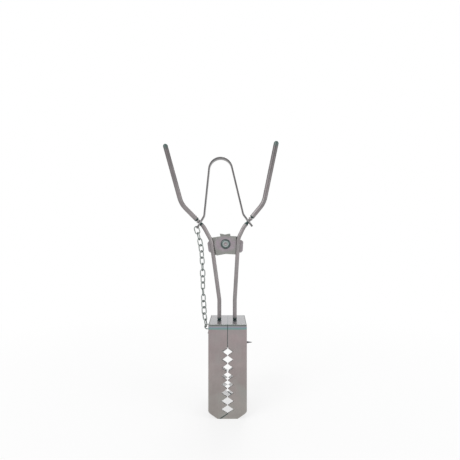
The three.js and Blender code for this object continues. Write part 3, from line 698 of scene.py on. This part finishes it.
# Hinge plates: two stampings of thick sheet with broken edges. The rear one,
# with the crown tab, is fixed behind the left bar; the front one is joggled
# behind the right bar.
rivet_middle = Vector((hinge.x, 0, hinge.z))
film_shape, film_ripple, film_wander = (0.8, 0, 1.22), 260, 6 * mm
film_span, film_most, film_colour = (10.5 * mm, 15 * mm), 0.75, (0.256, 0.276, 0.246)
ear_span, film_on_ears = (14.5 * mm, 17 * mm), 0.1
rivet_shadow_span, rivet_shadow_most, rivet_shadow_colour = (5.0 * mm, 5.9 * mm), 0.9, (0.03, 0.055, 0.055)
plate_edge = 0.35 * mm
edge_rounds, edge_profile = 3, 0.6
flat_degrees, sharp_degrees, smooth_degrees = 1.5, 30, 32
source_weld, cut_weld = 0.01 * mm, 0.001 * mm
first_cell = 0.57
joggle_from, joggle_to = 14.88 * mm, 17.23 * mm
joggle_crest, joggle_foot = 17.1 * mm, 17.7 * mm
joggle_margin = 0.1 * mm
ear_from, ear_reach = -9.5 * mm, 6.6 * mm
ear_in, ear_down = 1.2 * mm, 1.6 * mm
crown_from, crown_left = 188.9 * mm, 0.7 * mm


def greened_rim(tree, tone, matt):
    """A rosy middle, a greenish film towards the edges but not on the ears, and a painted shadow round the rivet.
    """
    place = node(tree, "ShaderNodeTexCoord").outputs["Object"]
    ripple = clouded(tree, place, film_ripple, 2)
    out = reckon(tree, "MULTIPLY_ADD", ripple, film_wander, how_far(tree, rivet_middle, film_shape))
    rim = graded(tree, out, film_span, (0, film_most))
    off_ears = graded(tree, how_far(tree, rivet_middle, (1, 0, 0)), ear_span, (1, film_on_ears))
    tone = laid_over(tree, tone, film_colour, reckon(tree, "MULTIPLY", rim, off_ears))
    # Painted contact shadow on the plate round the rivet's head.
    rivet_shadow = graded(tree, how_far(tree, rivet_middle, (1, 0, 1)), rivet_shadow_span, (rivet_shadow_most, 0))
    return laid_over(tree, tone, rivet_shadow_colour, rivet_shadow), matt


plate_steel = steel("stamped_plate", dark=(0.303, 0.260, 0.288), pale=(0.378, 0.332, 0.364),
                    tint=(0.30, 0.288, 0.28), roughness=0.44, lines=(500.0, 1200.0, 2200.0),
                    clouds=190, on_run=False, scratch=0.16, bump=0.2, marked=greened_rim)


def sliced(form, spacing):
    """Cuts large flats into small cells, so that wear follows the edges closely."""
    for axis in range(3):
        along = [vert.co[axis] for vert in form.verts]
        normal = Vector([float(axis == i) for i in range(3)])
        cut = min(along) + spacing * first_cell
        while cut < max(along):
            bmesh.ops.bisect_plane(form, geom=form.verts[:] + form.edges[:] + form.faces[:],
                                   plane_co=normal * cut, plane_no=normal, dist=cut_weld)
            cut += spacing


def dressed(node_name, piece_name, finish, edge, cell=2 * mm, settle=None):
    """The pressed sheet's own form, its flats cleaned and its cut edges broken."""
    form = bmesh.new()
    form.from_mesh(frame["nodes"][node_name].data)
    bmesh.ops.remove_doubles(form, verts=form.verts, dist=source_weld)
    if settle:
        for vert in form.verts:
            settle(vert.co)
    bmesh.ops.dissolve_limit(form, angle_limit=math.radians(flat_degrees), verts=form.verts,
                             edges=form.edges)
    form.normal_update()
    sharp = [e for e in form.edges
             if len(e.link_faces) == 2 and e.calc_face_angle(0) > math.radians(sharp_degrees)]
    bmesh.ops.bevel(form, geom=sharp, offset=edge, segments=edge_rounds, profile=edge_profile,
                    affect="EDGES", clamp_overlap=True)
    sliced(form, cell)
    bmesh.ops.remove_doubles(form, verts=form.verts, dist=cut_weld)
    bmesh.ops.recalc_face_normals(form, faces=form.faces)
    sheet = new_piece(piece_name, form, finish)
    smoothed(sheet.data, smooth_degrees)
    flats = sheet.modifiers.new("true_flats", "WEIGHTED_NORMAL")
    flats.weight = 100
    flats.keep_sharp = True
    return sheet


def steeper_joggle(place):
    """Draws the joggle's crest closer to the bar, where the punch sets it."""
    if joggle_from - joggle_margin < place.x < joggle_to + joggle_margin:
        share = min(1, max(0, (place.x - joggle_from) / (joggle_to - joggle_from)))
        place.x = joggle_crest + (joggle_foot - joggle_crest) * share


def trimmed_ear(place):
    """Sets the left ear a little in and down, and the crown tab over the rivet."""
    if place.x < ear_from:
        share = (ear_from - place.x) / ear_reach
        place.x += ear_in * share
        if place.z > hinge.z:
            place.z -= ear_down * share
    if place.z > crown_from:
        place.x -= crown_left


for node_name, piece_name, body, settle in (
    ("rear_plate", "rear_hinge_plate", "left_arm", trimmed_ear),
    ("front_plate", "front_hinge_plate", "right_arm", steeper_joggle),
):
    plate = dressed(node_name, piece_name, plate_steel, plate_edge, settle=settle)
    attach(plate, body)
    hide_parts(node_name)


# Pivot rivet: cold-headed steel, flat on top with a turned ring and a small
# centre dimple, and set over behind the rear plate. The ring and the head's flank get painted shade.
rivet_sides = 64
rivet_profile = (
    # radius and depth in millimetres, from the dimple outwards, and the share of painted shade there
    (0.02, -1.55, 0.0), (0.45, -1.60, 0.0), (0.85, -1.76, 0.0), (1.15, -1.90, 0.1),
    (1.40, -1.98, 0.25), (1.70, -2.02, 0.1), (2.20, -2.05, 0.0), (2.90, -2.05, 0.0),
    (3.30, -2.03, 0.0), (3.48, -1.96, 0.1), (3.60, -1.82, 0.63), (3.70, -1.60, 0.85),
    (3.82, -1.48, 0.9), (4.05, -1.46, 0.77), (4.35, -1.42, 0.7), (4.65, -1.28, 0.7),
    (4.88, -1.02, 0.74), (4.98, -0.72, 0.85), (5.00, -0.45, 0.85), (4.96, -0.22, 0.9),
    (4.86, -0.15, 0.9), (2.60, -0.15, 0.9), (2.60, 4.80, 0.9), (4.45, 4.80, 0.9),
    (4.58, 4.88, 0.63), (4.60, 5.05, 0.3), (4.45, 5.45, 0.0), (4.10, 5.85, 0.0),
    (3.60, 6.15, 0.0), (3.00, 6.28, 0.0), (2.20, 6.30, 0.0), (0.02, 6.30, 0.0),
)
dimple_span, dimple_most, dimple_colour = (1.5 * mm, 2.5 * mm), 0.9, (0.30, 0.25, 0.265)


def rosy_dimple(tree, tone, matt):
    """The dimple left by the heading tool is bare and a little warmer than the plated head."""
    bare = graded(tree, how_far(tree, rivet_middle, (1, 0, 1)), dimple_span, (dimple_most, 0))
    return laid_over(tree, tone, dimple_colour, bare), matt


rivet_steel = steel("headed_rivet", dark=(0.29, 0.33, 0.33), pale=(0.38, 0.425, 0.42),
                    tint=(0.30, 0.36, 0.36), roughness=0.34, lines=(6.0, 60.0, 1.0), clouds=240,
                    scratch=0.08, marked=rosy_dimple)
rivet_rings = []
for radius, depth, _ in rivet_profile:
    middle = rivet_middle + backward * depth * mm
    rivet_rings.append(round_ring(middle, Vector((1, 0, 0)), upright, radius * mm, rivet_sides))
rivet = swept("hinge_rivet", rivet_rings, [number / 10 for number in range(len(rivet_rings))],
              rivet_steel, stains_and_shades=[stain_and_shade for _, _, stain_and_shade in rivet_profile])
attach(rivet, "left_arm")
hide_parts("pivot_rivet")


# Jaws: half boxes pressed from sheet, open below, with sheared teeth along the
# parting line. Painted highlights lie on the teeth's edges, the inner faces by the
# teeth and the flat top, and painted bands and a dark crest on the top bend. The
# rolled sheet keeps its upright grain.
foot_cast, top_cast = (1.13, 1.15, 1.11), (1.15, 1.04, 1.09)
# Painted highlight: tinted bands where the top bend catches the light.
bend_highlights = (
    # below the top, half heights where it is full and where it ends, colour
    (2.9 * mm, (0.45 * mm, 1.5 * mm), (0.205, 0.265, 0.32)),
    (4.1 * mm, (0.33 * mm, 1.1 * mm), (0.170, 0.325, 0.295)),
)
bend_highlight_most = 0.8
# Painted dark reflection along the crest of the top bend.
crest_depth, crest_shade_most, crest_shade_colour = 3 * mm, 0.72, (0.075, 0.11, 0.10)
crest_facing, crest_ends = (0.40, 0.66), (0.955, 0.995)
toe_rise, toe_reach = 5.3 * mm, 8 * mm
teeth_half = 6.5 * mm
teeth_top = box_height - 21 * mm
# Painted highlight on the teeth's cut edges, and painted light on the inner faces beside the teeth, which lie in
# the box's shade.
sheared_facing, edge_highlight_most, edge_highlight_colour = (0.35, 0.75), 0.9, (0.92, 0.92, 0.92)
inner_light_span, inner_light_colour = (7.4 * mm, 8.6 * mm), (0.86, 0.86, 0.86)
inner_light_top, inner_light_facing = (teeth_top - 1 * mm, teeth_top + 1.5 * mm), -0.5
line_colour = (0.035, 0.065, 0.06)
seam_line, seam_most = (0.35 * mm, 0.5 * mm), 0.8
toe_line, toe_most = (0.45 * mm, 0.65 * mm), 0.85
# Painted reflection: faces turned straight up are lighter and cooler; the lower roughness is the real polish.
flat_span, top_light_most, top_light_colour = (0.96, 0.995), 0.6, (0.30, 0.33, 0.345)
flat_polish = 0.26
seam_half, seam_closed_half = 0.15 * mm, 0.01 * mm
seam_near = 0.03 * mm
tooth_tip_half = 0.45 * mm
tips_from, tips_to = 10 * mm, 70 * mm
jaw_edge, jaw_cell = 0.22 * mm, 3.5 * mm


def painted_bend_light(tree, tone, place, facing):
    """A cast from foot to top, two-tone painted highlight bands under the top bend and a dark painted reflection
    on the bend's crest.
    """
    cast = laid_over(tree, foot_cast, top_cast, graded(tree, place["Z"], (0, box_height)))
    tone = tinged(tree, tone, cast)
    for line, halves, colour in bend_highlights:
        off = reckon(tree, "ABSOLUTE", reckon(tree, "SUBTRACT", place["Z"], box_height - line))
        share = graded(tree, off, halves, (bend_highlight_most, 0), smooth=True)
        tone = laid_over(tree, tone, colour, share)
    crest = graded(tree, facing["Z"], crest_facing, (0, crest_shade_most))
    short_of_top = graded(tree, facing["Z"], crest_ends, (1, 0))
    near_top = reckon(tree, "GREATER_THAN", place["Z"], box_height - crest_depth)
    share = reckon(tree, "MULTIPLY", reckon(tree, "MULTIPLY", crest, short_of_top), near_top)
    return laid_over(tree, tone, crest_shade_colour, share)


def painted_teeth_light(tree, tone, place, facing, from_seam):
    """Painted highlight on the teeth's sheared edges, and painted light on the inner faces beside them."""
    off_face = reckon(tree, "ABSOLUTE", facing["Y"])
    sheared = graded(tree, off_face, sheared_facing, (edge_highlight_most, 0), smooth=True)
    for limit in (
        reckon(tree, "LESS_THAN", from_seam, teeth_half),
        reckon(tree, "LESS_THAN", place["Z"], teeth_top),
        reckon(tree, "GREATER_THAN", place["Z"], toe_rise),
    ):
        sheared = reckon(tree, "MULTIPLY", sheared, limit)
    tone = laid_over(tree, tone, edge_highlight_colour, sheared)
    inward = reckon(tree, "MULTIPLY", facing["Y"], reckon(tree, "SIGN", place["Y"]))
    inner_light = graded(tree, from_seam, inner_light_span, (1, 0), smooth=True)
    for limit in (
        reckon(tree, "LESS_THAN", inward, inner_light_facing),
        graded(tree, place["Z"], inner_light_top, (1, 0), smooth=True),
    ):
        inner_light = reckon(tree, "MULTIPLY", inner_light, limit)
    return laid_over(tree, tone, inner_light_colour, inner_light)


def dark_lines(tree, tone, place, across, from_seam):
    """The dark parting line down to the toe, and the toe's slanted line below it."""
    above = reckon(tree, "GREATER_THAN", place["Z"], toe_rise)
    seam = graded(tree, from_seam, seam_line, (seam_most, 0), smooth=True)
    tone = laid_over(tree, tone, line_colour, reckon(tree, "MULTIPLY", seam, above))
    slope = math.hypot(toe_rise, toe_reach)
    front = reckon(tree, "MULTIPLY", across, reckon(tree, "SIGN", place["Y"]))
    run = reckon(tree, "MULTIPLY", front, -toe_rise / slope)
    rise = reckon(tree, "MULTIPLY", reckon(tree, "SUBTRACT", place["Z"], toe_rise), toe_reach / slope)
    off = reckon(tree, "ABSOLUTE", reckon(tree, "SUBTRACT", run, rise))
    toe = graded(tree, off, toe_line, (toe_most, 0), smooth=True)
    below = reckon(tree, "LESS_THAN", place["Z"], toe_rise)
    return laid_over(tree, tone, line_colour, reckon(tree, "MULTIPLY", toe, below))


def jaw_marks_and_light(tree, tone, matt):
    """Painted light and shade on the bend, the teeth and the flat top, the dark parting and toe lines, and the
    flat top's lower roughness.
    """
    coordinates = node(tree, "ShaderNodeTexCoord").outputs
    place = node(tree, "ShaderNodeSeparateXYZ", coordinates["Object"]).outputs
    facing = node(tree, "ShaderNodeSeparateXYZ", coordinates["Normal"]).outputs
    across = reckon(tree, "SUBTRACT", place["X"], box_middle_x)
    from_seam = reckon(tree, "ABSOLUTE", across)
    tone = painted_bend_light(tree, tone, place, facing)
    tone = painted_teeth_light(tree, tone, place, facing, from_seam)
    tone = dark_lines(tree, tone, place, across, from_seam)
    flat_top = graded(tree, facing["Z"], flat_span)
    tone = laid_over(tree, tone, top_light_colour, reckon(tree, "MULTIPLY", flat_top, top_light_most))
    return tone, reckon(tree, "MULTIPLY_ADD", flat_top, -flat_polish, matt)


jaw_steel = steel("pressed_sheet", dark=(0.262, 0.238, 0.232), pale=(0.322, 0.297, 0.288),
                  tint=(0.27, 0.28, 0.265), roughness=0.46, lines=(2200.0, 2200.0, 50.0), clouds=38,
                  on_run=False, scratch=0.09, wear=0.3, marked=jaw_marks_and_light)


def closed_seam(place):
    """Shuts the two halves on the parting line, and lets the teeth's tips just miss each other."""
    off = place.x - box_middle_x
    if abs(abs(off) - seam_half) < seam_near:
        half = tooth_tip_half if tips_from < place.z < tips_to else seam_closed_half
        place.x = box_middle_x + math.copysign(half, off)


for side in bars:
    jaw = dressed(f"{side}_jaw", f"{side}_half_box", jaw_steel, jaw_edge, jaw_cell, closed_seam)
    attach(jaw, f"{side}_arm")
    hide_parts(f"{side}_jaw")


# Trigger: a dark pressed lever inside the box, hooked through
# two slots of the left wall, with its pointed nose out of the right wall.
lever_edge = 0.2 * mm
trigger_steel = steel("dark_lever", dark=(0.043, 0.044, 0.048), pale=(0.112, 0.112, 0.118),
                      tint=(0.06, 0.075, 0.085), roughness=0.42, lines=(900.0, 300.0, 900.0),
                      clouds=90, on_run=False)
lever = dressed("trigger", "inner_trigger", trigger_steel, lever_edge)
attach(lever, "trigger_lever")
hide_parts("trigger")


# Chain: oval links of zinc-plated wire, bent round a former and closed by a
# butt joint that stands a little proud. The last link is stapled through the
# left wall.
wire_radius = 0.6 * mm
link_sides, link_steps = 20, 64
axis_rounds = 60
# how far each link hangs turned about its own length, in degrees
link_turns = (0, 64, -33, 26, -50, 28, -80, -22, 36, -50, 72, -44, 25, -36, 40, -76, 0)
joint_angle, joint_rise = 0.10, 0.10
bow_share = 0.25
# Painted shade on each link's bows, where it hooks through its neighbours.
bow_shade, bow_shade_from, bow_shade_over = 0.72, 0.72, 0.2
chain_steel = steel("plated_wire", dark=(0.21, 0.232, 0.222), pale=(0.40, 0.425, 0.41),
                    tint=(0.28, 0.315, 0.30), roughness=0.34, lines=(8.0, 6.0, 1.0), clouds=300)


def link_frame(node_name):
    """Centre, length axis and outer half sizes of a link, from its node's shape."""
    points = [vert.co.copy() for vert in frame["nodes"][node_name].data.vertices]
    middle = sum(points, Vector()) / len(points)
    spread = Matrix(((0, 0, 0), (0, 0, 0), (0, 0, 0)))
    for off in [point - middle for point in points]:
        for i in range(3):
            for j in range(3):
                spread[i][j] += off[i] * off[j]
    long = Vector((0.3, 0.2, 1))
    for _ in range(axis_rounds):
        long = (spread @ long).normalized()
    wide = long.orthogonal()
    for _ in range(axis_rounds):
        wide = spread @ wide
        wide = (wide - long * wide.dot(long)).normalized()
    half_length = max(abs((point - middle).dot(long)) for point in points)
    half_width = max(abs((point - middle).dot(wide)) for point in points)
    return middle, long, half_length, half_width


def make_link(node_name, body):
    """One link in its node's place, turned about its length as it hangs."""
    middle, long, half_length, half_width = link_frame(node_name)
    if long.z > 0:
        long = -long
    turn = link_turns[int(node_name[-2:]) - 1]
    wide = Quaternion(long, math.radians(turn)) @ long.cross(-backward).normalized()
    out = long.cross(wide).normalized()
    bow = half_width - wire_radius
    straight = half_length - wire_radius - bow
    rings, bow_shades = [], []
    for step in range(link_steps):
        a = 2 * math.pi * step / link_steps
        outward = wide * math.cos(a) + long * math.sin(a)
        shank = max(-1, min(1, math.sin(a) / bow_share))
        centre = middle + outward * bow + long * straight * shank
        radius = wire_radius * (1 + joint_rise * math.exp(-((a - math.pi) / joint_angle) ** 2))
        rings.append(round_ring(centre, outward, out, radius, link_sides))
        bow_shades.append(bow_shade * min(1, max(0, (abs(math.sin(a)) - bow_shade_from) / bow_shade_over)))
    lengths = [step / 10 for step in range(link_steps + 1)]
    piece = swept(node_name.replace("chain_link", "wire_link"), rings, lengths, chain_steel,
                  closed=True, stains_and_shades=bow_shades)
    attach(piece, body)
    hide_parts(node_name)


for body, members in frame["record"]["behaviour"]["bodies"].items():
    for node_name in members:
        if node_name.startswith("chain_link"):
            make_link(node_name, body)
